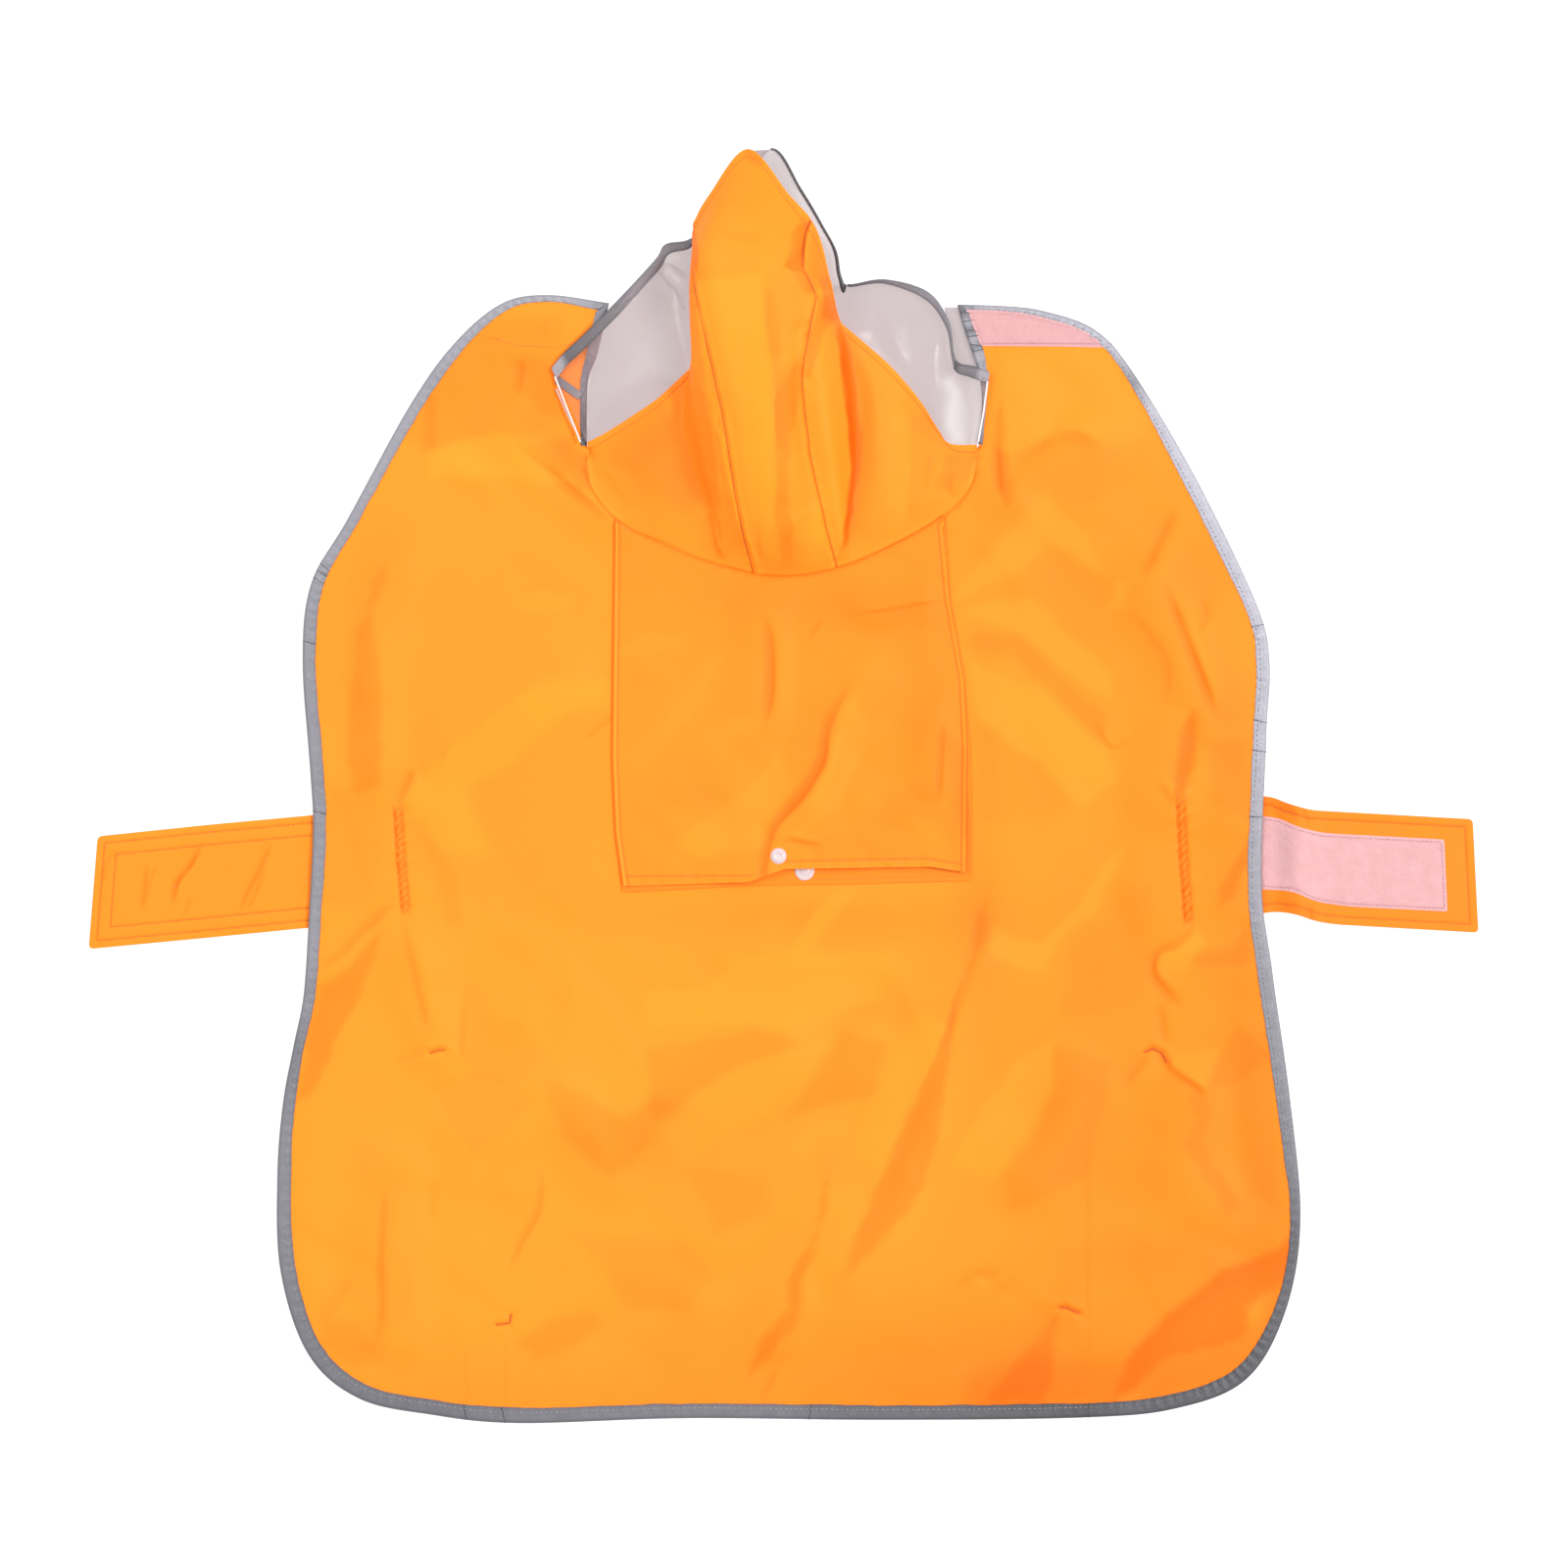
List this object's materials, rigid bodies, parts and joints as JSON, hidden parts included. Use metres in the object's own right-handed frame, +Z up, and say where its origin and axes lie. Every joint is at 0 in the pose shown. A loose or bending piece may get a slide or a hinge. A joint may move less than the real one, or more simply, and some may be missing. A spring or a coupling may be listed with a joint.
{
  "type": "dog raincoat",
  "caption": "Hooded dog raincoat laid out flat: one-piece body with chest flaps, belly straps with hook-and-loop patches, snapped back pouch, clear hood brim and taped edges.",
  "frame": {"origin": "on the table, under the middle of the whole garment's bounding box", "axes": "+Z up from the table, through the outer face; +Y from the hem towards the tip of the hood; +X towards the strap with the loop patch"},
  "size_m": [0.8505, 0.7795, 0.0601],
  "materials": {
    "coat_cloth": "coated woven polyester, soft sheen",
    "binding": "grey reflective woven tape",
    "brim_binding": "dark grey woven tape",
    "film": "clear soft vinyl film",
    "loop_patch": "pale pink loop pile",
    "hook_patch": "pale pink hook tape",
    "snap": "pale pink plastic snap"
  },
  "bodies": {
    "root": {"binding_flap_left": "binding", "binding_flap_right": "binding", "binding_hem_left": "binding", "binding_hem_middle": "binding", "binding_neck_left": "binding", "binding_neck_right": "binding", "binding_side_left": "binding", "binding_side_right": "binding", "binding_waist_left": "binding", "body_panel": "coat_cloth", "brim_binding_end": "brim_binding", "brim_binding_left": "brim_binding", "brim_binding_right": "brim_binding", "brim_binding_side": "brim_binding", "brim_binding_top": "brim_binding", "brim_film": "film", "flap_left_hook": "hook_patch", "flap_right_loop": "loop_patch", "hood_crown": "coat_cloth", "hood_left": "coat_cloth", "hood_right": "coat_cloth", "pouch_back": "coat_cloth", "pouch_front": "coat_cloth", "snap_base": "snap", "snap_cap": "snap", "strap_left": "coat_cloth", "strap_left_hook": "hook_patch", "strap_right": "coat_cloth", "strap_right_loop": "loop_patch"}
  },
  "joints": []
}
